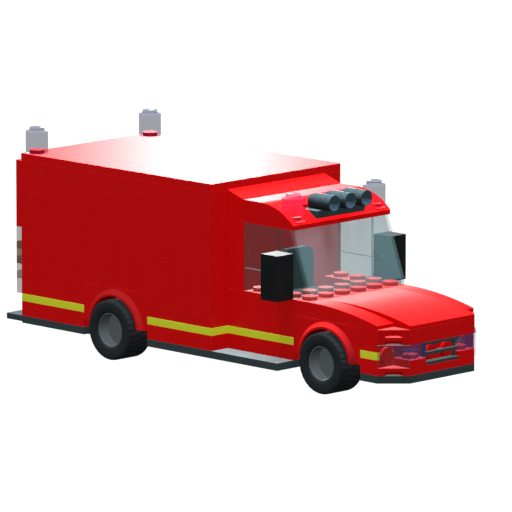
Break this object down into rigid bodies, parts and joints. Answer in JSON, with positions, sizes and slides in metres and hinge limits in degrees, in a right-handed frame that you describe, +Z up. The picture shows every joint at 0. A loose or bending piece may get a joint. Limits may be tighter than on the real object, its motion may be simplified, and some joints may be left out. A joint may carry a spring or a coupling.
{
  "type": "brick-built toy ambulance",
  "caption": "Toy ambulance of clamping bricks with box body, rolling wheels, hinged rear doors, cab with leaning windscreen, beacons and lamp bar.",
  "frame": {"origin": "on the floor under the middle of the model's bounding box", "axes": "+X forward, +Y to the vehicle's left, +Z up"},
  "size_m": [0.1844, 0.0702, 0.0773],
  "materials": {
    "red_plastic": "gloss",
    "dark_plastic": "gloss",
    "yellow_plastic": "gloss",
    "black_plastic": "gloss",
    "rim_plastic": "satin",
    "tyre_rubber": "matt",
    "smoke_glass": "clear",
    "beacon_plastic": "clear tint",
    "clear_plastic": "clear",
    "amber_plastic": "clear tint",
    "blue_plastic": "clear tint",
    "lamp_metal": "polished"
  },
  "bodies": {
    "body": {"box_side_lower": "red_plastic", "box_side_upper_right": "red_plastic", "box_side_upper_left": "red_plastic", "box_front_wall": "red_plastic", "box_roof": "red_plastic", "rear_post_right": "red_plastic", "rear_post_left": "red_plastic", "arches_rear": "red_plastic", "arches_front": "red_plastic", "cab_side_lower": "red_plastic", "cab_side_upper_right": "red_plastic", "cab_side_upper_left": "red_plastic", "wing_right": "red_plastic", "wing_left": "red_plastic", "bonnet": "red_plastic", "dash": "red_plastic", "b_pillars": "red_plastic", "corner_upper": "red_plastic", "corner_lower": "red_plastic", "corner_discs": "red_plastic", "bumper": "red_plastic", "front_panel": "red_plastic", "roof_ramp": "red_plastic", "visor": "red_plastic", "seat_base": "red_plastic", "chassis_plate": "dark_plastic", "rear_step": "dark_plastic", "axle_block_rear": "dark_plastic", "axle_block_front": "dark_plastic", "seat": "dark_plastic", "grille": "dark_plastic", "lamp_bar": "dark_plastic", "box_stripes": "yellow_plastic", "cab_stripes": "yellow_plastic", "door_mirrors": "black_plastic", "side_panes_lower": "smoke_glass", "side_panes_upper": "smoke_glass", "windscreen": "smoke_glass", "tail_lamps_smoke": "smoke_glass", "tail_lamps_clear": "clear_plastic", "corner_lamps": "clear_plastic", "tail_lamps_amber": "amber_plastic", "blue_lamps": "blue_plastic", "beacons_rear": "beacon_plastic", "beacons_front": "beacon_plastic", "lamp_reflectors": "lamp_metal"},
    "wheel_rear_right": {"tyre_rear_right": "tyre_rubber", "rim_rear_right": "rim_plastic"},
    "wheel_rear_left": {"tyre_rear_left": "tyre_rubber", "rim_rear_left": "rim_plastic"},
    "wheel_front_right": {"tyre_front_right": "tyre_rubber", "rim_front_right": "rim_plastic"},
    "wheel_front_left": {"tyre_front_left": "tyre_rubber", "rim_front_left": "rim_plastic"},
    "door_right": {"rear_door_right": "red_plastic", "door_glass_right": "smoke_glass"},
    "door_left": {"rear_door_left": "red_plastic", "door_glass_left": "smoke_glass"}
  },
  "joints": [
    {"name": "wheel_rear_right_spin", "type": "hinge", "parent": "body", "child": "wheel_rear_right", "pos_m": [-0.03623, -0.032, 0.01067], "axis": [0, 1, 0], "continuous": true},
    {"name": "wheel_rear_left_spin", "type": "hinge", "parent": "body", "child": "wheel_rear_left", "pos_m": [-0.03623, 0.032, 0.01067], "axis": [0, 1, 0], "continuous": true},
    {"name": "wheel_front_right_spin", "type": "hinge", "parent": "body", "child": "wheel_front_right", "pos_m": [0.05977, -0.024, 0.01067], "axis": [0, 1, 0], "continuous": true},
    {"name": "wheel_front_left_spin", "type": "hinge", "parent": "body", "child": "wheel_front_left", "pos_m": [0.05977, 0.024, 0.01067], "axis": [0, 1, 0], "continuous": true},
    {"name": "rear_door_right_hinge", "type": "hinge", "parent": "body", "child": "door_right", "pos_m": [-0.08573, -0.022, 0.036], "axis": [0, 0, 1], "range_deg": [0, 110]},
    {"name": "rear_door_left_hinge", "type": "hinge", "parent": "body", "child": "door_left", "pos_m": [-0.08573, 0.022, 0.036], "axis": [0, 0, -1], "range_deg": [0, 110]}
  ]
}
